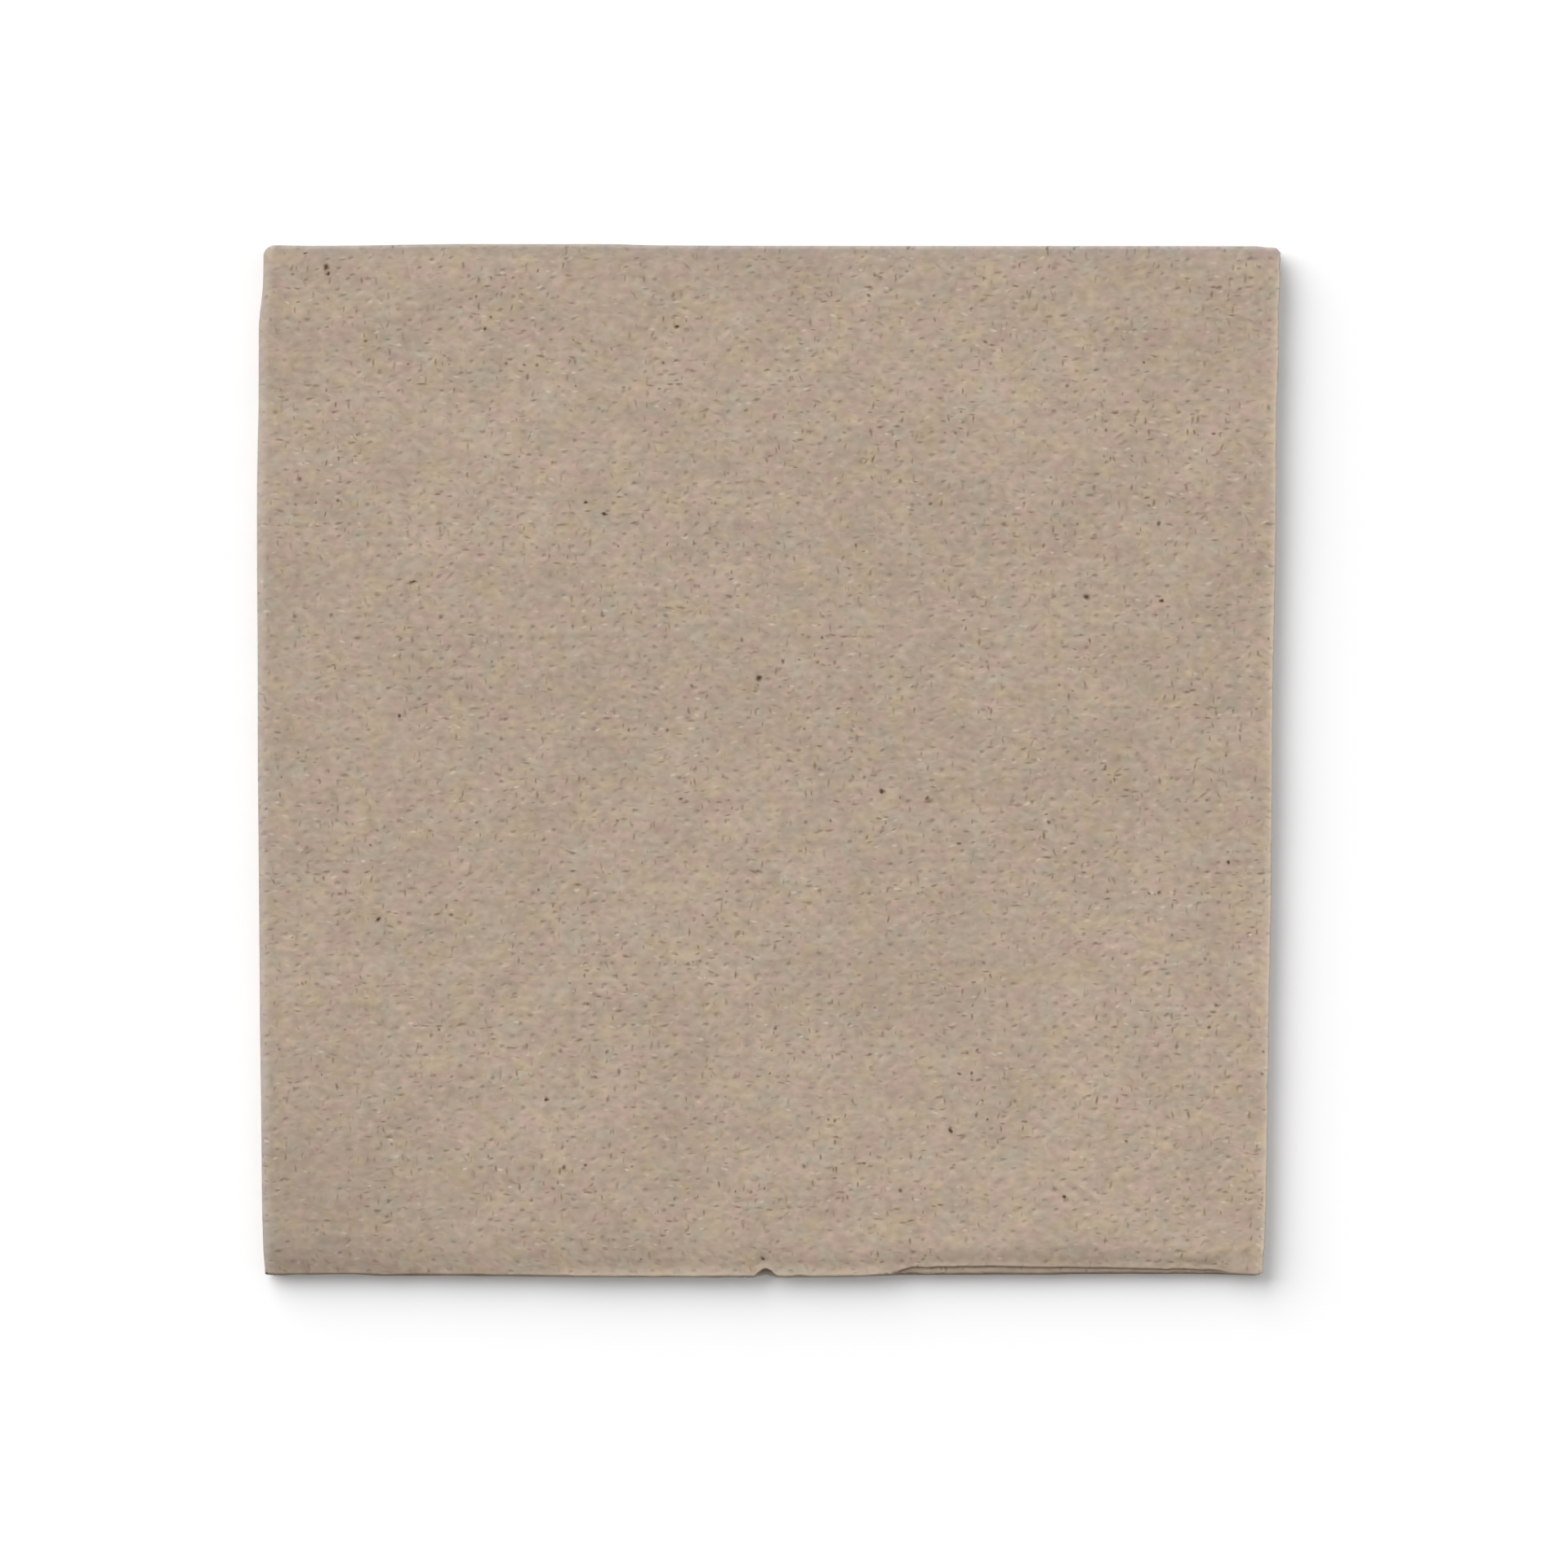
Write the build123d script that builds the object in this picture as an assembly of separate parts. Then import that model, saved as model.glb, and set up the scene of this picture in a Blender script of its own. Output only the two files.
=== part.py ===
# A paper napkin folded in quarters, lying flat. One sheet of creped tissue is folded in half along its top
# edge, and the doubled sheet is folded in half again along its left side. Four layers lie on each other: each
# two of them are a pair, joined at the top fold, and the side fold carries the lower pair round into the upper
# one. Lengths are in millimetres and angles in degrees, with +Z up. The origin is on the table, under the
# middle of the napkin. +X points at the open side and +Y at the top fold.

import os
from math import asin, atan, degrees, sin

from build123d import *

# The folded napkin seen from above
folded_width = 125.0
folded_length = 126.0
open_side_lean = 2.0

# The paper, the air between its layers, and how far the upper pair has sunk by the open side
paper = 0.3
top_fold_gap = 0.5
cut_edge_gap = 0.35
side_fold_radius = 0.35
open_side_drop = 0.2

# How far the edges miss each other, because the sheet was not folded quite square
inner_layer_setback = 0.15
lower_pair_setback = 0.2

# How far the side fold stands in at its two ends, and how long each of those tapers is
top_corner_inset = 0.77
top_corner_taper = 9.0
cut_corner_inset = 0.85
cut_corner_taper = 88.0

# The notch in the cut edges of all four layers, placed from the side fold
notch_place = 62.0
notch_width = 3.0
notch_depth = 0.95

# The tear along the cut edge of the top layer, placed from the side fold
tear_place = 77.5
tear_length = 41.0
tear_depth = 1.05
tear_tail_depth = 0.6
tear_ramp = 2.7

# Extra reach of every cut past the paper
overrun = 5.0

# Places worked out from the sizes above
side_x = -folded_width / 2
open_x = folded_width / 2
cut_y = -folded_length / 2
fold_y = folded_length / 2
nose_radius = paper + top_fold_gap / 2
nose_y = fold_y - nose_radius
widest_gap = max(top_fold_gap, cut_edge_gap)
side_fold_reach = side_fold_radius + 2 * paper + widest_gap
seam_x = side_x + 2 * (side_fold_reach + max(top_corner_inset, cut_corner_inset))
stack_height = 2 * side_fold_reach

# The upper pair leaves the side fold level, and sinks in one long arc towards the lower pair
leg_length = open_x - seam_x
leg_radius = leg_length / sin(2 * atan(open_side_drop / leg_length))
leg_turn = asin((leg_length + overrun) / leg_radius)


def pair_gap(y):
    """Air between the two layers of a pair, which narrows from the top fold to the cut edges."""
    way_share = (y - cut_y) / (nose_y - cut_y)
    return cut_edge_gap + (top_fold_gap - cut_edge_gap) * way_share


def side_axis_z(y):
    """Height of the middle of the side fold, above the two layers of the lower pair."""
    return 2 * paper + pair_gap(y) + side_fold_radius


def hollow_radius(y, outer):
    """Inside radius of the outer or the inner layer where it turns round the side fold."""
    return side_fold_radius + (paper + pair_gap(y) if outer else 0)


def side_axis_x(y):
    """Place of the middle of the side fold, which stands in at both ends."""
    to_top = max(0, y - fold_y + top_corner_taper) / top_corner_taper
    to_cut = max(0, cut_y + cut_corner_taper - y) / cut_corner_taper
    inset = top_corner_inset * to_top + cut_corner_inset * to_cut
    return side_x + inset + hollow_radius(y, outer=True) + paper


def first_y(outer):
    """Where a layer's cut edge lies."""
    return cut_y if outer else cut_y + inner_layer_setback


def turn_section(y, outer):
    """One layer cut across the side fold: a short level run, a half turn and the run back."""
    hollow = hollow_radius(y, outer)
    full = hollow + paper
    run = seam_x - side_axis_x(y)
    edges = [
        CenterArc((0, 0), full, 90, 180),
        Line((0, -full), (run, -full)),
        Line((run, -full), (run, -hollow)),
        Line((run, -hollow), (0, -hollow)),
        CenterArc((0, 0), hollow, 90, 180),
        Line((0, hollow), (run, hollow)),
        Line((run, hollow), (run, full)),
        Line((run, full), (0, full)),
    ]
    across = Plane(origin=(side_axis_x(y), y, side_axis_z(y)), x_dir=(1, 0, 0), z_dir=(0, -1, 0))
    return across * make_face(edges)


def side_turn(outer):
    """One layer round the side fold, from its cut edge to the top fold."""
    kinks = sorted([cut_y + cut_corner_taper, fold_y - top_corner_taper])
    places = [first_y(outer), *kinks, nose_y]
    return loft([turn_section(y, outer) for y in places], ruled=True)


def layer_strip(height_at, outer):
    """Section of one layer along the Y-Z plane, from its cut edge to the top fold."""
    start = first_y(outer)
    corners = [
        (start, height_at(start)),
        (nose_y, height_at(nose_y)),
        (nose_y, height_at(nose_y) + paper),
        (start, height_at(start) + paper),
    ]
    return make_face(Polyline(*corners, close=True))


def nose_ring(z):
    """Section of the top fold: a half ring of paper that joins the two layers of a pair."""
    hollow = top_fold_gap / 2
    edges = [
        CenterArc((nose_y, z), nose_radius, -90, 180),
        Line((nose_y, z + nose_radius), (nose_y, z + hollow)),
        CenterArc((nose_y, z), hollow, -90, 180),
        Line((nose_y, z - hollow), (nose_y, z - nose_radius)),
    ]
    return make_face(edges)


lower_nose_z = nose_radius
upper_nose_z = 2 * side_axis_z(nose_y) - nose_radius


def corner_turn():
    """The top fold as the side fold carries it round the closed corner."""
    turn_x = side_axis_x(nose_y)
    run = seam_x - turn_x
    section = Plane(origin=(turn_x, 0, 0), x_dir=(0, 1, 0), z_dir=(1, 0, 0))
    axis = Axis((turn_x, 0, side_axis_z(nose_y)), (0, 1, 0))
    lower = extrude(section * nose_ring(lower_nose_z), run)
    upper = extrude(section * nose_ring(upper_nose_z), run)
    return lower + revolve(section * nose_ring(lower_nose_z), axis, 180) + upper


seam = Plane(origin=(seam_x, 0, 0), x_dir=(0, 1, 0), z_dir=(1, 0, 0))


def outer_low(y):
    """Underside of the bottom layer."""
    return 0


def inner_low(y):
    """Underside of the second layer."""
    return paper + pair_gap(y)


def inner_high(y):
    """Underside of the third layer."""
    return side_axis_z(y) + hollow_radius(y, outer=False)


def outer_high(y):
    """Underside of the top layer."""
    return side_axis_z(y) + hollow_radius(y, outer=True)


def lower_run(section):
    """Carries a section straight along the table, from the side fold past the open side."""
    return extrude(seam * section, leg_length + overrun)


def upper_run(section):
    """Carries a section along the sinking arc, from the side fold past the open side."""
    far_axis = Axis((seam_x, 0, inner_high(cut_y) - leg_radius), (0, 1, 0))
    return revolve(seam * section, far_axis, degrees(leg_turn))


def open_side_cut(setback):
    """Everything past the open side, which leans in towards the cut edges."""
    far_x = open_x + 2 * overrun
    lean = open_side_lean / folded_length
    top_x = open_x - setback + lean * overrun
    low_x = open_x - setback - open_side_lean - lean * overrun
    corners = [
        (top_x, fold_y + overrun),
        (far_x, fold_y + overrun),
        (far_x, cut_y - overrun),
        (low_x, cut_y - overrun),
    ]
    return through_all(make_face(Polyline(*corners, close=True)))


def through_all(outline):
    """Turns an outline in plan into a cutter that passes through every layer."""
    return extrude(Pos(Z=-overrun) * outline, stack_height + 2 * overrun)


def notch_cut():
    """The arched notch that the cut edges of all four layers share."""
    middle = side_x + notch_place
    left = (middle - notch_width / 2, cut_y)
    right = (middle + notch_width / 2, cut_y)
    arch = ThreePointArc(left, (middle, cut_y + notch_depth), right)
    below = Polyline(right, (right[0], cut_y - overrun), (left[0], cut_y - overrun), left)
    return through_all(make_face([arch, below]))


def tear_cut():
    """The long shallow strip torn from the cut edge of the top layer."""
    start = side_x + tear_place
    end = start + tear_length
    torn = Spline(
        (start, cut_y),
        (start + tear_ramp, cut_y + tear_depth),
        (end - tear_ramp, cut_y + tear_tail_depth),
        (end, cut_y),
    )
    below = Polyline((end, cut_y), (end, cut_y - overrun), (start, cut_y - overrun), (start, cut_y))
    return through_all(make_face([torn, below]))


def lower_pair():
    """Bottom and second layer, with the top fold between them."""
    bottom = lower_run(layer_strip(outer_low, outer=True))
    second = lower_run(layer_strip(inner_low, outer=False))
    return (bottom + second + lower_run(nose_ring(lower_nose_z))) - open_side_cut(lower_pair_setback)


def upper_pair():
    """Third and top layer, with the top fold between them. Only the top layer is torn."""
    top = upper_run(layer_strip(outer_high, outer=True)) - tear_cut()
    third = upper_run(layer_strip(inner_high, outer=False))
    return (top + third + upper_run(nose_ring(upper_nose_z))) - open_side_cut(0)


def folded_napkin():
    """The whole sheet as one solid."""
    folds = side_turn(outer=True) + side_turn(outer=False) + corner_turn()
    return lower_pair() + folds + upper_pair() - notch_cut()


os.makedirs("parts", exist_ok=True)
napkin = folded_napkin()
napkin.label = "folded_napkin"
export_step(napkin, "parts/folded_napkin.step")
print("sheet unfolds to", round(2 * folded_width), "by", round(2 * folded_length), "mm")
print("solids", len(napkin.solids()), "volume", round(napkin.volume), "valid", napkin.is_valid)
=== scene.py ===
import math

import bpy
import numpy as np
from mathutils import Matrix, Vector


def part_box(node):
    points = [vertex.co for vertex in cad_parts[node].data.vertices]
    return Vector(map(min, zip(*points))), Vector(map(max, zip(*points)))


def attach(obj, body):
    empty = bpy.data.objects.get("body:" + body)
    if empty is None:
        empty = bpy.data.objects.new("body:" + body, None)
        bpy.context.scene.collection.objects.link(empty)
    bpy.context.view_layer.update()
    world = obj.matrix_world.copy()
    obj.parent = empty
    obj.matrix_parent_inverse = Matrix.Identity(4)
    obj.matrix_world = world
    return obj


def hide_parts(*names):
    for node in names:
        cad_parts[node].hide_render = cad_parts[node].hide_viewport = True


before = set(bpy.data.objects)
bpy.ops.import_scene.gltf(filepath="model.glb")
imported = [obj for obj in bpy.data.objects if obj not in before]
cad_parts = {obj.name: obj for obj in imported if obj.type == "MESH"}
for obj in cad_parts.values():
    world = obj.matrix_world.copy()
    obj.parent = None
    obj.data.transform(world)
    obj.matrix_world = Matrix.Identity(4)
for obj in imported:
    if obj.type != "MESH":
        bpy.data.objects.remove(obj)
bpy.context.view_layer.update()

# A paper napkin folded in quarters, seen from straight above. One sheet of recycled kraft tissue covers four
# layers: the surface below is that sheet, carried round both folds and given its thickness.

mm = 0.001
white = (1.0, 1.0, 1.0, 1.0)

# The photograph's scale: its frame is photoSide pixels wide, and the napkin's middle stands at photoMiddle
photoSide = 1920
photoMiddle = (940.8, 930.4)
pixel = 0.0997  # millimetres on the paper

# What a user would change on the sheet. Lengths are in millimetres.
sheet = {
    "flat": (250.0, 252.0),       # the sheet as it was cut
    "paper": 0.3,                 # two plies pressed together
    "topFoldGap": 0.5,            # air between the layers of a pair, at the top fold
    "cutEdgeGap": 0.35,           # and at the cut edges
    "looseness": 0.15,            # how much that air varies, as a share of it
    "loosenessLengths": (9, 40),  # and over what lengths
    "stiffShare": 1 / 12,         # it varies less beside the side fold, within this share of the width,
    "stiffReach": 10,             # and beside the top fold, within this length
    "sideFoldRadius": 0.35,       # inside the side fold
    "openSideDrop": 0.2,          # how far the upper pair has sunk by the open side
    "dropChange": 0.12,           # how much that varies, as a share of it
    "dropLengths": (20, 60),
    "layerReach": (0.26, 0.12, -0.03, 0.0),  # each layer's cut edge past the top one's, from the bottom up
    "lowerSetback": 0.2,          # the lower pair stops short of the upper one at the open side
    "bendReach": 5,               # rows of the mesh follow an edge's line from this far inside it
    "cornerRadius": 1.6,          # the closed corner, seen from above,
    "cornerShare": 0.75,          # which is this share as deep as a full round
    "wave": 0.02,                 # how far the stack swells and sinks, as a share of its height
    "waveLengths": (16.0, 60.0),
    "rollReach": 5.2,             # the cut edges sink towards the table from this far inside them
    "foldRoll": 0.08,             # the stack sinks by this share of its height towards the top fold,
    "foldRollReach": 5,           # from this far inside it
    "edgeCurl": 0.12,             # the top layer turns up along the open side,
    "curlReach": 1.5,             # from this far inside it
    "edgeDip": 0.07,              # it rises at its cut edge and sinks a little just inside,
    "dipPlace": 1.2,              # this far in,
    "dipReach": 0.5,              # each over this length
    "tornEdgeDrop": 0.88,         # along the tear it sinks by this share of the air below it,
    "tornEdgeReach": 1.8,         # less and less over this length,
    "sinkLimit": 0.92,            # and nowhere by more than this share
    "crumple": 0.1,               # depth of the creases at the open corner,
    "crumpleLengths": (1.6, 4.0),
    "crumpleStretch": 0.45,       # which are drawn out across by one over this,
    "crumpleStart": 48,           # begin here, across,
    "crumpleRise": 4,             # grow over this length,
    "crumplePlace": 1.8,          # and are deepest this far inside the cut edges
    "fuzz": 0.035,                # raggedness of the cut edges
    "fuzzShare": 0.015,           # and the share of the width beside the open side that it takes in
    "edgeBulge": 0.07,            # roundness of the cut edges
    "foldShading": (0.2, 0.4),       # painted shade on the folds' outline, and how much more where it faces up to the light
    "foldShadingReach": 0.8,         # how far in that goes
    "frayAndHighlightReach": 0.28,            # how far in the cut edges look frayed and carry a painted highlight
    "innerStretch": 400.0,        # the sheet's inner face has the pattern from this much further along
    "step": 1.6,                  # usual spacing of the mesh
    "fineStep": 0.16,             # spacing at the edges
    "turnSteps": 16,              # parts of the half turn round the side fold
    "noseSteps": 12,              # and round the top fold
}

# The outline, measured down from the top fold: how far the side fold stands in, and where the open side is
sideInsets = [(0, 0.8), (4.2, 0.77), (6, 0.68), (8, 0.4), (9.5, 0.22), (20, 0.2), (24, 0.1), (30, 0),
              (38, 0), (50, 0.08), (64, 0.1), (72, 0.18), (88, 0.31), (96, 0.36), (104, 0.48), (118, 0.62),
              (123, 0.76), (126, 1.0)]
openSideInsets = [(0, 0.05), (4, 0.12), (8, 0.2), (16, 0.3), (21, 0.52), (37, 0.6), (43, 0.7), (51, 0.88),
                  (60, 0.98), (76, 1.1), (86, 1.25), (92, 1.42), (108, 1.56), (116, 1.72), (121, 1.9),
                  (126, 2.2)]

# The outline, measured across from the middle: how far the top fold and the cut edges stand in
topFoldInsets = [(-60, 0.14), (-56, 0.22), (-50, 0.18), (-43, 0.05), (-38, 0), (-19, 0), (-14, 0.15),
                 (-6, 0.2), (20, 0.23), (48, 0.24), (59.8, 0.26), (60.4, 0.38), (62, 0.46), (62.4, 1.0)]
cutEdgeInsets = [(-62, 0.7), (-61.3, 0.36), (-59.6, 0.25), (-58, 0.34), (-56, 0.35), (-51, 0.34),
                 (-46.7, 0.15), (-44, 0.26), (-34, 0.17), (-27, 0.09), (-20, 0), (8, 0.02), (12, 0.12),
                 (16, 0.32), (33, 0.31), (38, 0.4), (45, 0.46), (54, 0.4), (58.5, 0.25), (60, 0.25),
                 (61, 0.5)]

# The notch, which is shallower in the lower pair: place from its middle, depth
notchDepths = [(-1.5, 0), (-1.2, 0.18), (-0.75, 0.6), (-0.3, 0.9), (0.05, 0.95), (0.5, 0.8), (0.95, 0.42),
               (1.5, 0)]
notchPlace = -0.3
lowerNotchShare = 0.35

# The strip torn from the top layer's cut edge: place across, depth. The mesh is finer at its two steep ends.
tearDepths = [(15.1, 0), (15.8, 0.18), (16.4, 0.52), (18, 0.76), (20, 0.84), (25, 0.88), (31, 0.82),
              (38, 0.66), (45, 0.5), (51, 0.44), (54, 0.38), (55.8, 0.2), (57.2, 0)]
tearEnds = (16, 56)

# How far the cut edges sink, as a share of the height: place across, share
rollDown = [(-48, 0.28), (-18, 0.15), (12, 0.15), (20, 0.04), (45, 0.04), (55, 0.12)]

# Where the top layer is pressed down along the tear, and where it dips before it: start, end, rise and fall
pressedSpan = (13, 59, 3, 5)
dipSpan = (-30, 17, 12, 4)

# Where the cut edges are frayed, pale, with a painted highlight: place across, strength
frayAndHighlight = [(-34, 0.1), (-24, 0.6), (12, 0.65), (16, 0.1), (56, 0.1), (60, 0.6)]
openSideFrayAndHighlight = 0.7

# Places worked out from the part's box and the sizes above
lowCorner, highCorner = (np.array(corner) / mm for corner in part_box("folded_napkin"))
sideX, cutY = lowCorner[:2]
openX, foldY = highCorner[:2]
noseRadius = (sheet["paper"] + sheet["topFoldGap"]) / 2
noseY = foldY - noseRadius - sheet["paper"] / 2
sideFoldReach = sheet["sideFoldRadius"] + 2 * sheet["paper"] + sheet["cutEdgeGap"]


def gradedLine(start, end, coarse, spots):
    # Places from start to end. Their spacing is coarse and shrinks evenly towards each spot, which is a
    # place, the spacing there and how far round it that holds: one over the spacing is added up and cut
    # into equal parts.
    samples = 20001
    growth = 0.35
    fine = np.linspace(start, end, samples)
    spacing = np.full_like(fine, coarse)
    for place, least, reach in spots:
        away = np.maximum(0, np.abs(fine - place) - reach)
        spacing = np.minimum(spacing, least + growth * away)
    each = 0.5 * (1 / spacing[1:] + 1 / spacing[:-1]) * np.diff(fine)
    count = np.concatenate([[0], np.cumsum(each)])
    parts = math.ceil(count[-1])
    return np.interp(np.linspace(0, count[-1], parts + 1), count, fine)


def throughPoints(points, at, softness):
    # A line through the points, rounded by a weighted average over the places within softness of each
    places, values = np.array(points, float).T
    offsets = np.linspace(-1, 1, 9)
    weights = 1 - np.abs(offsets) * 0.9
    spread = at[..., None] + offsets * softness
    return (np.interp(spread, places, values) * weights).sum(-1) / weights.sum()


def smooth(t):
    # Rises from 0 to 1 without corners
    t = np.clip(t, 0, 1)
    return t * t * (3 - 2 * t)


def between(x, start, end, rise, fall):
    # 1 between start and end, rising from 0 past the start and falling back before the end
    return smooth((x - start) / rise) * smooth((end - x) / fall)


def softWaves(x, y, lengths, seed, count=14):
    # Sum of cosines with seeded directions, lengths and phases, kept near -1 to 1
    random = np.random.default_rng(seed)
    angle = random.uniform(0, math.tau, count)
    length = random.uniform(*lengths, count)
    phase = random.uniform(0, math.tau, count)
    along = x[..., None] * np.cos(angle) + y[..., None] * np.sin(angle)
    return np.cos(math.tau * along / length + phase).sum(-1) / math.sqrt(count)


def sheetGrid():
    # The sheet as a grid. Columns run round the side fold, from the lower pair's open side to the upper
    # pair's, and rows run round the top fold, from the outer layer's cut edge to the inner layer's. Returns
    # each column's share of the way from the side fold to the open side and its angle round the fold, and
    # each row's y and its side: 1 on the outer layer, -1 on the inner one, and the cosine of the way round
    # the top fold between them.
    step = sheet["step"]
    fine = sheet["fineStep"]

    # Where the mesh is finer: place, spacing, how far round the place that holds. The upper pair shows more.
    lowerSpots = [(openX, 0.25, 0), (sideX, 0.4, 1), (notchPlace, 0.3, 1.6)]
    upperSpots = [(openX, fine, 0.8), (openX, 0.6, 12), (sideX, 0.4, 1), (notchPlace, 0.2, 1.8),
                  (tearEnds[0], 0.3, 1.5), (tearEnds[1], 0.5, 1)]
    outerSpots = [(cutY, fine, 0.5), (cutY, 0.5, 6), (noseY, 0.35, 0.5)]
    innerSpots = [(cutY, 0.25, 0), (noseY, 0.35, 0.5)]

    lowerRun = gradedLine(sideX + sideFoldReach, openX, 2 * step, lowerSpots)
    upperRun = gradedLine(sideX + sideFoldReach, openX, step, upperSpots)
    turn = np.linspace(0, math.pi, sheet["turnSteps"] + 1)[1:-1]
    runX = np.concatenate([lowerRun[::-1], np.full(len(turn), lowerRun[0]), upperRun])
    share = (runX - runX.min()) / (runX.max() - runX.min())
    angle = np.concatenate([np.zeros(len(lowerRun)), turn, np.full(len(upperRun), math.pi)])

    outerPanel = gradedLine(cutY, noseY, step, outerSpots)
    innerPanel = gradedLine(cutY, noseY, 2 * step, innerSpots)
    nose = np.linspace(0, math.pi, sheet["noseSteps"] + 1)[1:-1]
    y = np.concatenate([outerPanel, noseY + noseRadius * np.sin(nose), innerPanel[::-1]])
    side = np.concatenate([np.ones(len(outerPanel)), np.cos(nose), -np.ones(len(innerPanel))])
    return share[:, None], angle[:, None], np.broadcast_to(y, (len(share), len(y))), side[None, :]


def foldedSheet():
    # The sheet's middle surface. Each point stands at its layer's distance from the side fold's axis,
    # turned by its column's angle, and the runs go straight on from there. The edges' lines then shift it
    # along the sheet, and the swelling, sinking and pressing of the paper move it up or down. Returns the
    # points, and the edges' tints: fray and a painted highlight at the cut edges, painted shade along the
    # folds.
    paper = sheet["paper"]
    share, angle, y, side = sheetGrid()
    upper = angle > math.pi / 2
    outer = side > 0
    onTop = upper & outer

    # The side fold's axis, and the layers' distance from it
    sideInset = throughPoints(sideInsets, foldY - y, softness=1.4)
    openInset = throughPoints(openSideInsets, foldY - y, softness=2.0)
    openInset = openInset + np.where(upper, 0, sheet["lowerSetback"])
    gapShare = np.clip((y - cutY) / (noseY - cutY), 0, 1)
    gap = sheet["cutEdgeGap"] + (sheet["topFoldGap"] - sheet["cutEdgeGap"]) * gapShare
    axisX = sideX + sideInset + sideFoldReach + gap - sheet["cutEdgeGap"]
    axisZ = 2 * paper + gap + sheet["sideFoldRadius"]
    runX = axisX + share * (openX - openInset - axisX)
    awayFromFolds = smooth(share / sheet["stiffShare"]) * smooth((noseY - y) / sheet["stiffReach"])
    loose = 1 + sheet["looseness"] * softWaves(runX, y, sheet["loosenessLengths"], seed=5) * awayFromFolds
    fromAxis = sheet["sideFoldRadius"] + paper / 2 + (paper + gap * loose) * (1 + side) / 2

    # The edges' ragged lines
    random = np.random.default_rng(11)
    rowFuzz = random.normal(0, sheet["fuzz"], y.shape[1])[None, :]
    columnFuzz = random.normal(0, sheet["fuzz"], y.shape[0])[:, None]
    fuzzy = smooth((share - 1 + sheet["fuzzShare"]) / sheet["fuzzShare"])
    x = runX - fromAxis * np.sin(angle) + rowFuzz * fuzzy

    # Cut edges, notch and tear move the nearby rows along the sheet
    notch = throughPoints(notchDepths, x - notchPlace, softness=0.12) * np.where(upper, 1, lowerNotchShare)
    bottomReach, secondReach, thirdReach, topReach = sheet["layerReach"]
    outerReach = np.where(upper, topReach, bottomReach)
    innerReach = np.where(upper, thirdReach, secondReach)
    layerReach = np.where(outer, outerReach, innerReach)
    edgeShift = throughPoints(cutEdgeInsets, x, softness=0.8) + notch + columnFuzz - layerReach
    edgeShift = edgeShift + np.where(onTop, throughPoints(tearDepths, x, softness=0.3), 0)
    nearEdge = 1 - smooth((y - cutY) / sheet["bendReach"])

    # So do the top fold's line and the closed corner
    corner = sheet["cornerRadius"]
    fromLeft = np.clip(x - (sideX + sideInset), 0, corner)
    cornerDrop = corner - np.sqrt(np.maximum(0, corner ** 2 - (corner - fromLeft) ** 2))
    foldShift = throughPoints(topFoldInsets, x, softness=0.2) + sheet["cornerShare"] * cornerDrop
    nearFold = 1 - smooth((foldY - y) / sheet["bendReach"])
    placeY = y + edgeShift * nearEdge - foldShift * nearFold

    # Heights: the upper pair sinks towards the open side, and the stack swells and sinks as a whole
    fromCut = y - cutY
    dropWaves = softWaves(x * 0, y, sheet["dropLengths"], seed=8)
    drop = sheet["openSideDrop"] * share ** 2 * (1 + sheet["dropChange"] * dropWaves)
    z = axisZ - fromAxis * np.cos(angle) - np.where(upper, drop, 0)
    swell = 1 + sheet["wave"] * softWaves(x, placeY, sheet["waveLengths"], seed=3)
    cutRoll = throughPoints(rollDown, x, softness=4)
    swell = swell - cutRoll * np.clip(1 - fromCut / sheet["rollReach"], 0, 1) ** 2
    swell = swell - sheet["foldRoll"] * np.clip(1 - (foldY - y) / sheet["foldRollReach"], 0, 1) ** 2
    z = paper / 2 + (z - paper / 2) * swell

    # Along its free edges the top layer turns up or dips, and at the open corner it is creased. It sinks by
    # less than the air below it, which is what the swelling leaves between the two layers' middles, less
    # the paper.
    air = (paper + gap * loose) * swell - paper
    fromOpen = (1 - share) * (openX - axisX)
    curl = sheet["edgeCurl"] * np.clip(1 - fromOpen / sheet["curlReach"], 0, 1) ** 2
    dip = np.exp(-(fromCut / sheet["dipReach"]) ** 2)
    dip = dip - np.exp(-((fromCut - sheet["dipPlace"]) / sheet["dipReach"]) ** 2)
    dip = sheet["edgeDip"] * dip * between(x, *dipSpan)
    pressed = sheet["tornEdgeDrop"] * air * between(x, *pressedSpan)
    pressed = pressed * np.exp(-(fromCut / sheet["tornEdgeReach"]) ** 2)
    nearCorner = smooth((x - sheet["crumpleStart"]) / sheet["crumpleRise"])
    nearCorner = nearCorner * np.exp(-((fromCut - sheet["crumplePlace"]) / sheet["crumplePlace"]) ** 2)
    creases = softWaves(x * sheet["crumpleStretch"], y, sheet["crumpleLengths"], seed=21)
    moved = curl + dip + sheet["crumple"] * creases * nearCorner - pressed
    z = z + np.where(onTop, np.maximum(moved, -sheet["sinkLimit"] * air), 0)
    middle = np.stack([x, placeY, z], -1)

    # Painted shade along the folds' outline, more where it faces up to the light, and the cut edges' fray
    # with a painted highlight on it
    toSide = np.maximum(x - (sideX + sideInset), 0)
    toTop = np.maximum(foldY - foldShift - placeY, 0)
    facesUp = smooth((angle / math.pi - 0.35) / 0.2) * smooth((side + 0.4) / 0.4)
    foldDark, foldDarkAbove = sheet["foldShading"]
    foldPaintedShade = np.exp(-np.minimum(toSide, toTop) / sheet["foldShadingReach"]) * (foldDark + foldDarkAbove * facesUp)
    atCut = besideEdges(middle, middle[:, :1], middle[:, -1:]) * throughPoints(frayAndHighlight, x, softness=1)
    atOpen = besideEdges(middle, middle[:1], middle[-1:]) * openSideFrayAndHighlight
    return middle, {"cutEdge": np.maximum(atCut, atOpen), "foldPaintedShade": foldPaintedShade}


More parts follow.
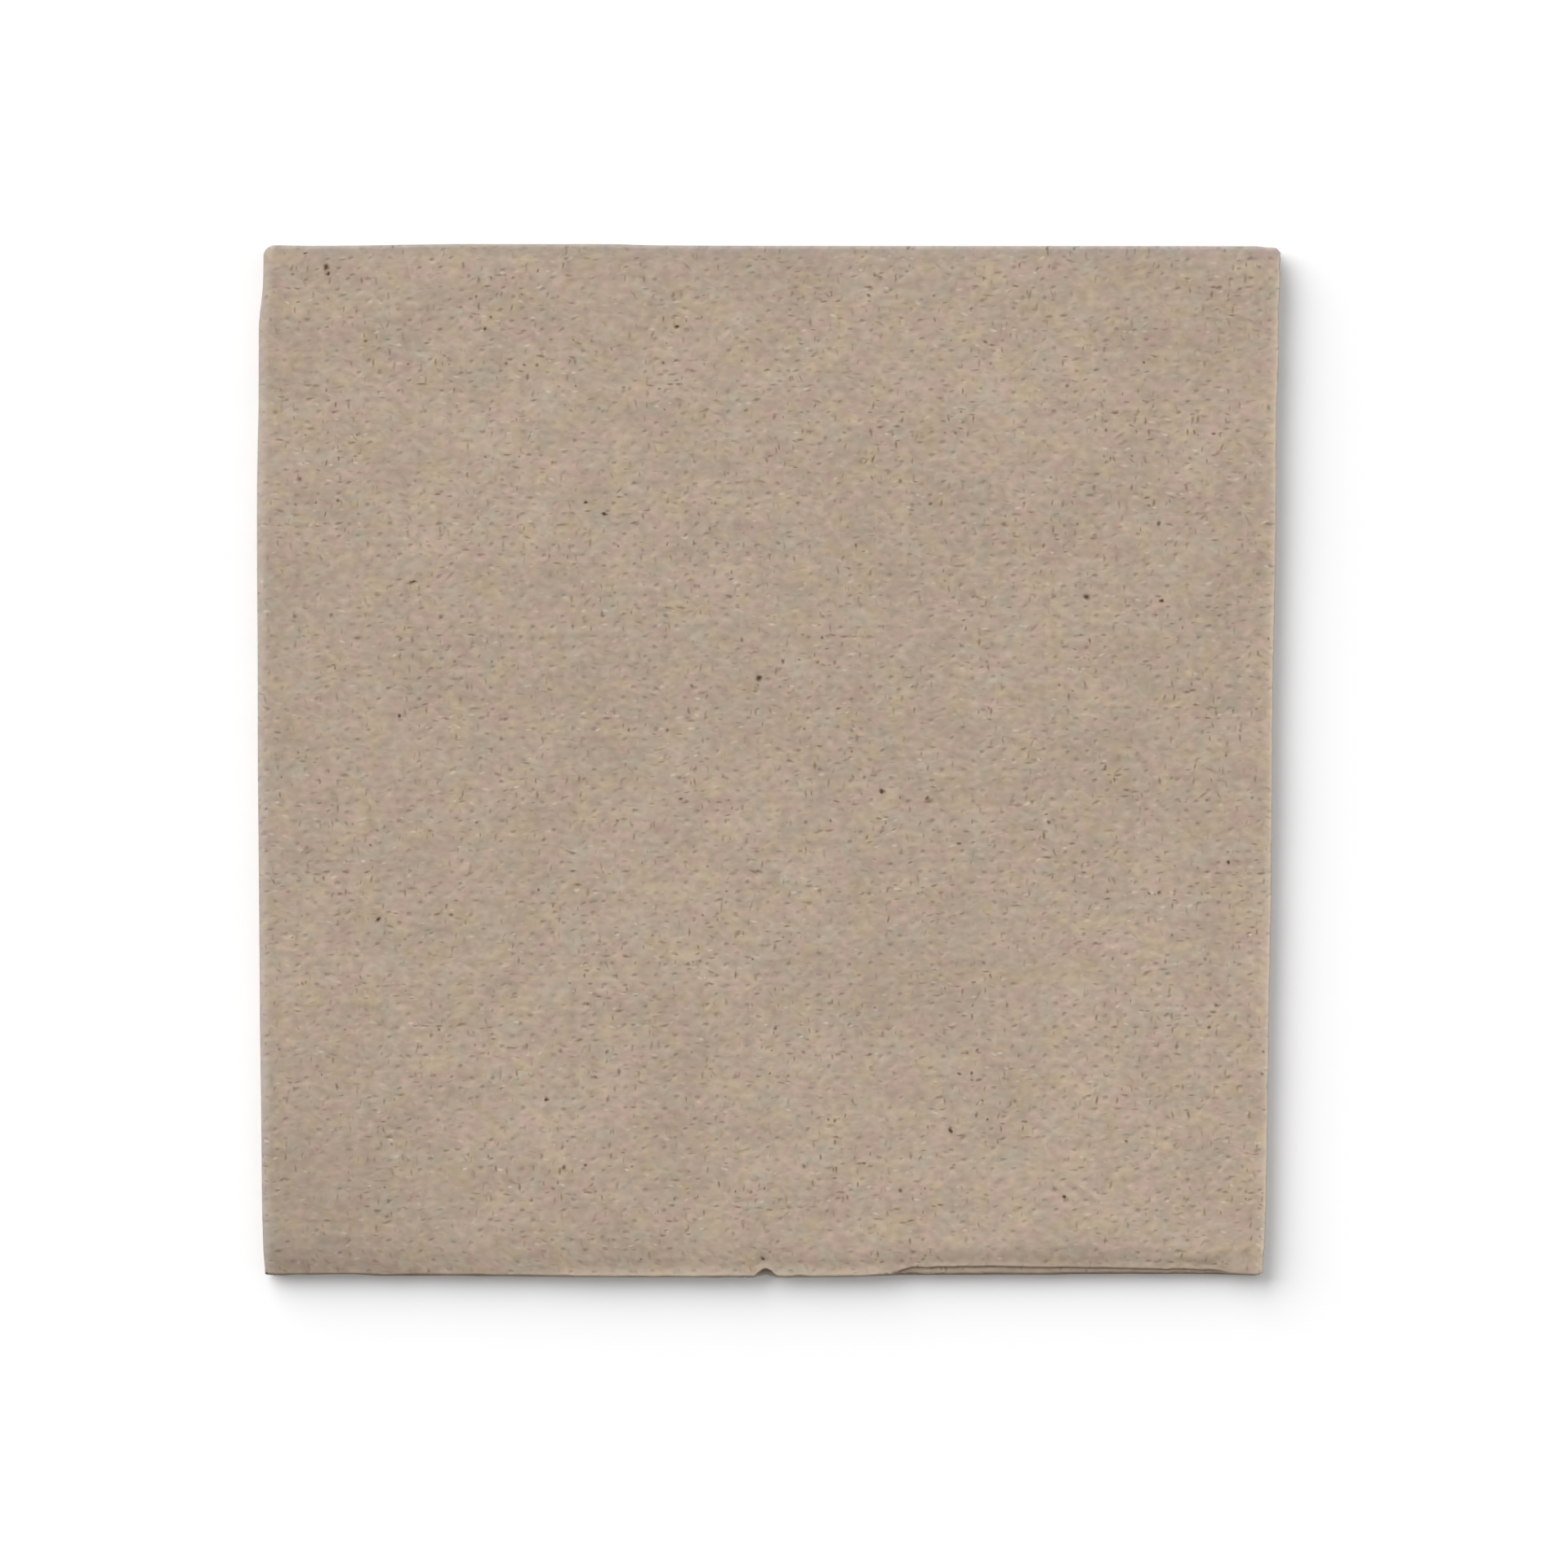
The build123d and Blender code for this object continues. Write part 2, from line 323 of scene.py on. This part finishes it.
def besideEdges(middle, first, last):
    # 1 at the sheet's first and last row or column, and less with the distance from the nearer one
    away = np.minimum(np.linalg.norm(middle - first, axis=-1), np.linalg.norm(middle - last, axis=-1))
    return np.exp(-away / sheet["frayAndHighlightReach"])


def placesOnSheet(middle):
    # Where each point lies on the flat sheet: its x and y on the top layer, and on from there round the
    # folds, by adding up the way from point to point
    x, y = middle[..., 0], middle[..., 1]
    alongX = np.linalg.norm(np.diff(middle, axis=0), axis=-1)
    alongX = np.concatenate([np.zeros((1, x.shape[1])), np.cumsum(alongX, 0)])
    alongX = alongX - alongX[-1:] + x[-1:]
    alongY = np.linalg.norm(np.diff(middle, axis=1), axis=-1)
    alongY = np.concatenate([np.zeros((x.shape[0], 1)), np.cumsum(alongY, 1)], 1) + y[:, :1]
    return np.stack([alongX, alongY], -1)


def unit(vectors):
    # Vectors of length 1
    return vectors / np.linalg.norm(vectors, axis=-1, keepdims=True)


def thickened(middle):
    # Both faces of the sheet, half its thickness from the middle surface, joined by rounded edges. The way
    # out of the sheet is the cross product of the grid's two directions. Returns points, faces, the place
    # in the grid that each point came from, and whether it is on the inner side.
    half = sheet["paper"] / 2
    across = np.gradient(middle, axis=0)
    along = np.gradient(middle, axis=1)
    normal = unit(np.cross(across, along))
    columns, rows = middle.shape[:2]
    size = columns * rows
    number = np.arange(size).reshape(columns, rows)

    # The grid's rim, once round, and the direction out of it
    rim = np.concatenate([number[:-1, 0], number[-1, :-1], number[:0:-1, -1], number[0, :0:-1]])
    out = np.zeros_like(middle)
    out[:, 0] -= unit(along[:, 0])
    out[:, -1] += unit(along[:, -1])
    out[0] -= unit(across[0])
    out[-1] += unit(across[-1])
    rimPoint, rimNormal, rimOut = (grid.reshape(-1, 3)[rim] for grid in (middle, normal, out))
    rings = [rimPoint + rimNormal * half * math.cos(turn) + rimOut * sheet["edgeBulge"] * math.sin(turn)
             for turn in (math.pi / 3, 2 * math.pi / 3)]
    outerFace = (middle + normal * half).reshape(-1, 3)
    innerFace = (middle - normal * half).reshape(-1, 3)
    points = np.concatenate([outerFace, innerFace, *rings])

    # Quads of both faces, and of the edge from ring to ring
    quads = np.stack([number[:-1, :-1], number[1:, :-1], number[1:, 1:], number[:-1, 1:]], -1).reshape(-1, 4)
    first = 2 * size + np.arange(len(rim))
    loops = [rim, first, first + len(rim), rim + size]
    edges = [np.stack([one, two, np.roll(two, -1), np.roll(one, -1)], -1)
             for one, two in zip(loops, loops[1:])]
    faces = np.concatenate([quads, quads[:, ::-1] + size, *edges])
    source = np.concatenate([number.ravel(), number.ravel(), rim, rim])
    isInner = np.repeat([False, True, False, True], [size, size, len(rim), len(rim)])
    return points, faces, source, isInner


def addObject(name, data):
    # A new object that stands in the scene
    made = bpy.data.objects.new(name, data)
    bpy.context.scene.collection.objects.link(made)
    return made


def buildNapkin():
    # The thickened sheet, set down on the table, with its place on the flat sheet and its edges' tints kept
    # for the paper: fray with a painted highlight, and painted shade along the folds
    middle, edgeTints = foldedSheet()
    points, faces, source, isInner = thickened(middle)
    points[:, 2] -= points[:, 2].min()
    mesh = bpy.data.meshes.new("napkin")
    mesh.from_pydata(points * mm, [], faces)
    mesh.update()
    onSheet = placesOnSheet(middle).reshape(-1, 2)[source] + isInner[:, None] * [sheet["innerStretch"], 0.0]
    corners = np.empty(len(mesh.loops), np.int32)
    mesh.loops.foreach_get("vertex_index", corners)
    sheetMap = mesh.uv_layers.new(name="sheetPlace")
    sheetMap.uv.foreach_set("vector", (onSheet[corners] * mm).astype(np.float32).ravel())
    for name, amount in edgeTints.items():
        spread = mesh.attributes.new(name, "FLOAT", "POINT")
        spread.data.foreach_set("value", amount.ravel()[source].astype(np.float32))
    mesh.shade_smooth()
    height = round(float(points[:, 2].max()), 3)
    print("napkin:", len(points), "points,", len(faces), "faces, height", height, "mm")
    return addObject("napkin", mesh)


def linear(hexColour):
    # sRGB hex to linear red, green, blue and alpha
    parts = np.array([int(hexColour[i:i + 2], 16) for i in (1, 3, 5)]) / 255
    parts = np.where(parts <= 0.04045, parts / 12.92, ((parts + 0.055) / 1.055) ** 2.4)
    return (*(float(p) for p in parts), 1.0)


def emptyTree(holder):
    # The node tree of a material or a world, with nothing in it yet
    holder.use_nodes = True
    holder.node_tree.nodes.clear()
    return holder.node_tree


def addNode(tree, kind, inputs=None, **settings):
    # Adds a node, with its settings, and a value or a link for each input named
    node = tree.nodes.new("ShaderNode" + kind)
    for name, value in settings.items():
        setattr(node, name, value)
    for name, value in (inputs or {}).items():
        if isinstance(value, bpy.types.NodeSocket):
            tree.links.new(value, node.inputs[name])
        else:
            node.inputs[name].default_value = value
    return node


# What a user would change in the tissue. Lengths are in millimetres. Each shade is the brightness where a
# pattern is lowest and where it is highest.
tissue = {
    "colour": "#AD9B8A",
    "pinkish": "#B09A8C",
    "olive": "#B09E87",
    "greyish": "#AB9E8D",
    # painted shade in the crepe's small creases
    "paintedCreaseShade": "#88745E",
    "darkStroke": "#5C4B38",
    "speck": "#48351D",
    "speckStrength": 0.95,
    # pale fibres of the frayed edges, also used for painted highlights
    "paleFibreAndHighlight": "#D0C3B3",
    "fold": "#7C7F82",             # painted shade, grey, on the outermost line of the folds
    "patch": (3.8, 3.4),           # period of the mottling
    "patchBlend": 0.3,             # how slowly one colour of it turns to the next
    "blotch": (8.0, 4.8),          # period of lighter and darker areas
    "blotchShade": (0.90, 1.10),
    "cloud": (46.0, 26.0),         # period of the slow unevenness
    "cloudShade": (0.93, 1.07),
    "cluster": (9.0, 9.0),         # period of the marks' uneven density
    "crepe": (1.1, 0.75),          # length and spacing of the crepe's wrinkles
    "crepeShade": (0.92, 1.08),
    "crepeDepth": 0.02,
    "grain": (1.45, 1.05),         # tufts of fibre
    "grainShade": (0.81, 1.19),
    "grainHeight": 0.04,
    "dotPitch": 2.5,
    "dotHalfSize": (0.38, 0.28),
    "dotDepth": 0.05,
    # painted shade in the pits
    "pitShade": (1.0, 0.77),
    "rimShade": (1.0, 1.10),       # a painted highlight on the rim below each pit
    "markDepth": 0.03,
    "wander": [(0.3, 0.7), (1.9, 0.12)],  # keeps rows from being ruler straight: swings per mm, and how far
    "speckWander": [(1.9, 0.25)],         # frays the dark specks' outlines
}

# The mottling: colour, the level of its noise where it begins, and seed
patches = [("pinkish", 0.40, 45.0), ("olive", 0.44, 67.0), ("greyish", 0.48, 81.0)]

# Short marks scattered over the sheet: colour, strength, spacing, half length, half width, direction and
# how far that varies in degrees, and the share of marks that are left out
scattered = [
    ("paintedCreaseShade", 0.98, 1.7, 0.40, 0.135, 0, 10, 0.2),      # small creases of the crepe, darkened with painted shade
    ("paintedCreaseShade", 1.00, 1.7, 0.37, 0.135, 90, 10, 0.2),     # and across it
    ("paleFibreAndHighlight", 0.65, 1.8, 0.32, 0.13, 0, 20, 0.2),    # painted highlights on lifted fibres
    ("darkStroke", 0.50, 3.4, 0.50, 0.11, 40, 90, 0.4),  # bark fibres
    ("darkStroke", 0.85, 2.8, 0.22, 0.17, 0, 90, 0.4),   # bits of bark
]

# Dark specks that stand out in the photo: pixel across and down, half width and half height in pixels
namedSpecks = [
    (399, 326, 3.6, 4.2), (402, 334, 2.4, 2.4), (372, 309, 2.6, 1.2), (829, 400, 3.4, 2.0),
    (594, 402, 2.4, 2.2), (740, 629, 4.2, 1.8), (717, 615, 2.4, 1.8), (506, 712, 4.6, 1.6),
    (489, 876, 2.4, 2.4), (929, 830, 3.6, 3.4), (1330, 730, 3.8, 3.4), (1422, 735, 2.4, 2.2),
    (1164, 1384, 2.4, 4.0), (669, 1346, 2.8, 2.4), (463, 1125, 2.6, 2.4), (1080, 969, 3.4, 2.4),
    (1504, 1055, 2.4, 2.4), (1303, 1465, 2.4, 2.6), (929, 1541, 2.8, 2.6),
]

# Painted shade and painted light: the paper is made a little darker or lighter in some places. Pixel
# across and down, radius in pixels, brightness there
paintedShadingPlaces = [(390, 1490, 330, 0.90), (1340, 1310, 280, 1.07)]


def onPaper(across, down):
    # A pixel of the photograph, in millimetres from the napkin's middle
    return (across - photoMiddle[0]) * pixel, (photoMiddle[1] - down) * pixel


def wandering(tree, place, swings):
    # Shifts places by soft noise around 0, for each number of swings to a millimetre and how far they reach
    moved = place
    for scale, amount in swings:
        noise = addNode(tree, "TexNoise", {"Vector": place, "Scale": scale, "Detail": 0.0},
                        noise_dimensions="2D")
        centred = addNode(tree, "VectorMath", {0: noise.outputs["Color"], 1: (0.5, 0.5, 0.5)},
                          operation="SUBTRACT")
        moved = addNode(tree, "VectorMath", {0: centred.outputs[0], 1: (amount, amount, 0.0), 2: moved},
                        operation="MULTIPLY_ADD").outputs[0]
    return moved


def unevenPattern(tree, place, period, detail, seed):
    # Soft noise around 0.5, with its own period across and up
    moved = addNode(tree, "Mapping", {"Vector": place, "Location": (seed, 0.6 * seed, 0),
                                      "Scale": (*period, 1)}, vector_type="TEXTURE")
    return addNode(tree, "TexNoise", {"Vector": moved.outputs[0], "Scale": 1.0, "Detail": detail,
                                      "Roughness": 0.55}, noise_dimensions="2D").outputs[0]


def scatteredMarks(tree, place, spacing, halfLength, halfWidth, turn, turnSpread, leftOut, seed):
    # Short marks, one in each cell of an uneven mosaic: the way from the cell's own point is turned by a
    # random angle and measured in half lengths and half widths, and the mark fades out towards its own
    # reach, 0.9 to 2.1 of them. Its random strength is raised to a power, which makes faint marks more
    # common than dark ones.
    cell = addNode(tree, "Mapping", {"Vector": place, "Location": (seed, 1.7 * seed, 0),
                                     "Scale": (1 / spacing, 1 / spacing, 1)})
    mosaic = addNode(tree, "TexVoronoi", {"Vector": cell.outputs[0], "Scale": 1.0}, voronoi_dimensions="2D")
    offset = addNode(tree, "VectorMath", {0: cell.outputs[0], 1: mosaic.outputs["Position"]},
                     operation="SUBTRACT")
    random = addNode(tree, "SeparateXYZ", {0: mosaic.outputs["Color"]})
    low, high = (math.radians(-turn + side * turnSpread) for side in (-1, 1))
    angle = addNode(tree, "MapRange", {"Value": random.outputs[0], 3: low, 4: high})
    turned = addNode(tree, "VectorRotate", {"Vector": offset.outputs[0], "Angle": angle.outputs[0]},
                     rotation_type="Z_AXIS")
    stretch = (spacing / halfLength, spacing / halfWidth, 0)
    own = addNode(tree, "VectorMath", {0: turned.outputs[0], 1: stretch}, operation="MULTIPLY")
    away = addNode(tree, "VectorMath", {0: own.outputs[0]}, operation="LENGTH")
    reach = addNode(tree, "MapRange", {"Value": random.outputs[2], 3: 0.9, 4: 2.1})
    mark = addNode(tree, "MapRange", {"Value": away.outputs["Value"], 2: reach.outputs[0], 3: 1.0, 4: 0.0},
                   interpolation_type="SMOOTHSTEP")
    strength = addNode(tree, "MapRange", {"Value": random.outputs[1], 1: leftOut, 2: 1.0})
    strength = addNode(tree, "Math", {0: strength.outputs[0], 1: 1.6}, operation="POWER")
    return addNode(tree, "Math", {0: mark.outputs[0], 1: strength.outputs[0]},
                   operation="MULTIPLY").outputs[0]


def specksAt(tree, place):
    # 1 on the named specks: the distance to the closest one, in that speck's own half sizes, fades out
    # round 1
    nearest = 10.0
    for across, down, halfWidth, halfHeight in namedSpecks:
        own = addNode(tree, "Mapping", {"Vector": place, "Location": (*onPaper(across, down), 0),
                                        "Scale": (halfWidth * pixel, halfHeight * pixel, 1)},
                      vector_type="TEXTURE")
        away = addNode(tree, "VectorMath", {0: own.outputs[0]}, operation="LENGTH").outputs["Value"]
        nearest = addNode(tree, "Math", {0: nearest, 1: away}, operation="MINIMUM").outputs[0]
    return addNode(tree, "MapRange", {"Value": nearest, 1: 0.45, 2: 1.4, 3: 1.0, 4: 0.0}).outputs[0]


def embossedDots(tree, place):
    # The fine dot embossing: pits on a square grid and one more in the middle of each square, some pressed
    # deeper than others. A dot is 1 in its middle and fades out past its half sizes. Returns the pits, which
    # the paper darkens with painted shade, and the rims below them, where a highlight is painted.
    pitch = tissue["dotPitch"]
    wide, high = tissue["dotHalfSize"]
    pit = ((0.5, 0.5), (wide, high))
    rim = ((0.5, 0.31), (1.4 * wide, 0.7 * high))
    grids = []
    for shift in (0.0, 0.5):
        cell = addNode(tree, "Mapping", {"Vector": place, "Location": (shift, shift, 0),
                                         "Scale": (1 / pitch, 1 / pitch, 0)})
        inCell = addNode(tree, "VectorMath", {0: cell.outputs[0]}, operation="FRACTION")
        corner = addNode(tree, "VectorMath", {0: cell.outputs[0]}, operation="FLOOR")
        random = addNode(tree, "TexWhiteNoise", {"Vector": corner.outputs[0]}, noise_dimensions="2D")
        depth = addNode(tree, "MapRange", {"Value": random.outputs["Value"], 1: 0.1, 2: 1.0, 3: 0.15, 4: 1.0})
        found = []
        for middle, (halfWidth, halfHeight) in (pit, rim):
            own = addNode(tree, "Mapping", {"Vector": inCell.outputs[0], "Location": (*middle, 0),
                                            "Scale": (halfWidth / pitch, halfHeight / pitch, 1)},
                          vector_type="TEXTURE")
            away = addNode(tree, "VectorMath", {0: own.outputs[0]}, operation="LENGTH")
            dot = addNode(tree, "MapRange", {"Value": away.outputs["Value"], 1: 0.2, 2: 1.2, 3: 1.0, 4: 0.0},
                          interpolation_type="SMOOTHSTEP")
            found.append(addNode(tree, "Math", {0: dot.outputs[0], 1: depth.outputs[0]},
                                 operation="MULTIPLY").outputs[0])
        grids.append(found)
    return [addNode(tree, "Math", {0: one, 1: other}, operation="MAXIMUM").outputs[0]
            for one, other in zip(*grids)]


def allMarks(tree, place, loose):
    # The scattered marks, denser in some areas than in others: colour, strength and pattern of each kind
    cluster = unevenPattern(tree, place, tissue["cluster"], 1.0, seed=57.0)
    density = addNode(tree, "MapRange", {"Value": cluster, 1: 0.3, 2: 0.7, 3: 0.4, 4: 1.4}).outputs[0]
    marks = []
    for number, (tint, strength, *shape) in enumerate(scattered):
        mark = scatteredMarks(tree, loose, *shape, seed=7.3 * number)
        mark = addNode(tree, "Math", {0: mark, 1: density}, operation="MULTIPLY", use_clamp=True).outputs[0]
        marks.append((tint, strength, mark))
    return marks


def paperColour(tree, place, patterns, marks):
    # The mottled colour of the paper, times the shade of every pattern, some of it painted shade and light,
    # and the painted shade and light of some places, with the marks, the specks, the edges' pale fray with
    # its painted highlight and the folds' painted shade laid over it
    colour = linear(tissue["colour"])
    for tint, least, seed in patches:
        noise = unevenPattern(tree, place, tissue["patch"], 2.0, seed)
        share = addNode(tree, "MapRange", {"Value": noise, 1: least, 2: least + tissue["patchBlend"]},
                        interpolation_type="SMOOTHSTEP").outputs[0]
        colour = addNode(tree, "Mix", {0: share, 6: colour, 7: linear(tissue[tint])},
                         data_type="RGBA").outputs[2]

    shades = []
    for name, pattern in patterns.items():
        low, high = tissue[name + "Shade"]
        shades.append(addNode(tree, "MapRange", {"Value": pattern, 3: low, 4: high}).outputs[0])
    for across, down, radius, brightness in paintedShadingPlaces:
        away = addNode(tree, "VectorMath", {0: place, 1: (*onPaper(across, down), 0)}, operation="DISTANCE")
        shades.append(addNode(tree, "MapRange", {"Value": away.outputs["Value"], 2: radius * pixel,
                                                 3: brightness, 4: 1.0},
                              interpolation_type="SMOOTHSTEP").outputs[0])
    for shade in shades:
        colour = addNode(tree, "VectorMath", {0: colour, 1: shade}, operation="MULTIPLY").outputs[0]

    specks = specksAt(tree, wandering(tree, place, tissue["speckWander"]))
    cutEdge = addNode(tree, "Attribute", attribute_name="cutEdge").outputs["Fac"]
    foldPaintedShade = addNode(tree, "Attribute", attribute_name="foldPaintedShade").outputs["Fac"]
    # Laid over: the specks, the cut edges' pale fray with a painted highlight, and painted shade on the folds
    over = [("speck", tissue["speckStrength"], specks), ("paleFibreAndHighlight", 1.0, cutEdge), ("fold", 1.0, foldPaintedShade)]
    for tint, strength, pattern in marks + over:
        share = addNode(tree, "Math", {0: pattern, 1: strength}, operation="MULTIPLY").outputs[0]
        colour = addNode(tree, "Mix", {0: share, 6: colour, 7: linear(tissue[tint])},
                         data_type="RGBA").outputs[2]
    return colour


def kraftTissue():
    # Unbleached recycled tissue, creped and micro-embossed, uncoated: dull, faintly fuzzy, with short brown
    # fibres and dark specks of old print and bark. Its crepe runs across, and its dots press both plies
    # together.
    material = bpy.data.materials.new("recycledKraftTissue")
    tree = emptyTree(material)
    sheetMap = addNode(tree, "UVMap", uv_map="sheetPlace")
    place = addNode(tree, "Mapping", {"Vector": sheetMap.outputs[0],
                                      "Scale": (1 / mm, 1 / mm, 1 / mm)}).outputs[0]
    loose = wandering(tree, place, tissue["wander"])
    tufts = unevenPattern(tree, loose, tissue["grain"], 1.4, seed=10.0)
    crepe = unevenPattern(tree, loose, tissue["crepe"], 0.5, seed=20.0)
    blotch = unevenPattern(tree, place, tissue["blotch"], 1.0, seed=33.0)
    cloud = unevenPattern(tree, place, tissue["cloud"], 1.0, seed=90.0)
    pits, rims = embossedDots(tree, loose)
    marks = allMarks(tree, place, loose)
    patterns = {"grain": tufts, "crepe": crepe, "blotch": blotch, "cloud": cloud, "pit": pits, "rim": rims}
    colour = paperColour(tree, place, patterns, marks)

    # Relief, in millimetres: how far each pattern rises
    rises = [(crepe, -tissue["crepeDepth"]), (tufts, tissue["grainHeight"]), (pits, -tissue["dotDepth"])]
    rises += [(mark, -tissue["markDepth"]) for tint, strength, mark in marks if tint == "paintedCreaseShade"]
    height = 0.0
    for pattern, rise in rises:
        height = addNode(tree, "Math", {0: pattern, 1: rise, 2: height}, operation="MULTIPLY_ADD").outputs[0]
    relief = addNode(tree, "Bump", {"Strength": 1.0, "Distance": mm, "Height": height})
    surface = addNode(tree, "BsdfPrincipled", {"Base Color": colour, "Roughness": 0.95,
                                               "Specular IOR Level": 0.2, "Normal": relief.outputs[0]})
    addNode(tree, "OutputMaterial", {"Surface": surface.outputs[0]})
    return material


# What a user would change in the studio
studio = {
    "cameraHeight": 1.2,      # metres above the paper
    "sensor": 36.0,           # millimetres
    "nearest": 0.05,          # metres from the camera, where it begins to see
    "light": 1.03,            # on the paper, where 1 shows a pure white as white
    "keyTilt": 65.0,          # degrees from straight above
    "keyTurn": 44.0,          # degrees from the top of the picture towards its left
    "keySpread": 68.0,        # how wide the soft light looks, in degrees
    "keyShare": 0.56,         # of all the light on the paper
    "fillSlope": (0.5, 0.6),  # how much the light all round grows towards the picture's right and its top
    "floorSize": 6.0,         # metres
    "floorColour": "#F8F8F8",
    "floorLift": 0.05,        # added where the camera sees the floor, so that it shows white
}


def seenRays(tree):
    # 1 for rays that see the thing itself, and 0 for those that carry its light to the paper
    path = addNode(tree, "LightPath").outputs
    seen = path["Is Camera Ray"]
    for name in ("Is Glossy Ray", "Is Transmission Ray"):
        seen = addNode(tree, "Math", {0: seen, 1: path[name]}, operation="MAXIMUM").outputs[0]
    return seen


def buildFloor():
    # A matt white table, lifted a little where it is seen
    half = studio["floorSize"] / 2
    corners = [(-half, -half, 0), (half, -half, 0), (half, half, 0), (-half, half, 0)]
    mesh = bpy.data.meshes.new("floor")
    mesh.from_pydata(corners, [], [(0, 1, 2, 3)])
    floor = addObject("floor", mesh)
    material = bpy.data.materials.new("whiteTable")
    tree = emptyTree(material)
    matt = addNode(tree, "BsdfDiffuse", {"Color": linear(studio["floorColour"])})
    lift = addNode(tree, "Math", {0: seenRays(tree), 1: studio["floorLift"]}, operation="MULTIPLY")
    glow = addNode(tree, "Emission", {"Color": white, "Strength": lift.outputs[0]})
    both = addNode(tree, "AddShader", {0: matt.outputs[0], 1: glow.outputs[0]})
    addNode(tree, "OutputMaterial", {"Surface": both.outputs[0]})
    mesh.materials.append(material)
    return floor


def buildLights():
    # One broad soft light from the top left, and light all round that grows towards the top right. Where the
    # surroundings are seen they are plain white.
    tilt = math.radians(studio["keyTilt"])
    key = bpy.data.lights.new("softKey", "SUN")
    key.energy = math.pi * studio["light"] * studio["keyShare"] / math.cos(tilt)
    key.angle = math.radians(studio["keySpread"])
    addObject("softKey", key).rotation_euler = (tilt, 0, math.radians(180 + studio["keyTurn"]))

    world = bpy.data.worlds.new("studio")
    tree = emptyTree(world)
    direction = addNode(tree, "TexCoord").outputs["Generated"]
    slope = addNode(tree, "VectorMath", {0: direction, 1: (*studio["fillSlope"], 0)}, operation="DOT_PRODUCT")
    level = studio["light"] * (1 - studio["keyShare"])
    fill = addNode(tree, "Math", {0: slope.outputs["Value"], 1: level, 2: level}, operation="MULTIPLY_ADD")
    strength = addNode(tree, "MapRange", {"Value": seenRays(tree), 3: fill.outputs[0], 4: 1.0})
    sky = addNode(tree, "Background", {"Color": white, "Strength": strength.outputs[0]})
    addNode(tree, "OutputWorld", {"Surface": sky.outputs[0]})
    bpy.context.scene.world = world


def buildCamera():
    # The photo looks straight down at the middle of its frame, a little to the right of the napkin's and
    # below it
    eye = bpy.data.cameras.new("photoCamera")
    eye.sensor_width = studio["sensor"]
    eye.lens = studio["sensor"] * studio["cameraHeight"] / (photoSide * pixel * mm)
    eye.clip_start = studio["nearest"]
    camera = addObject("photoCamera", eye)
    right, up = onPaper(photoSide / 2, photoSide / 2)
    camera.location = (right * mm, up * mm, studio["cameraHeight"] + highCorner[2] * mm)
    bpy.context.scene.camera = camera


scene = bpy.context.scene
scene.view_settings.view_transform = "Standard"

napkin = buildNapkin()
napkin.data.materials.append(kraftTissue())
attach(napkin, "root")
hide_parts("folded_napkin")
floor = buildFloor()
print("napkin is dressed")
buildLights()
buildCamera()
print("studio is set")
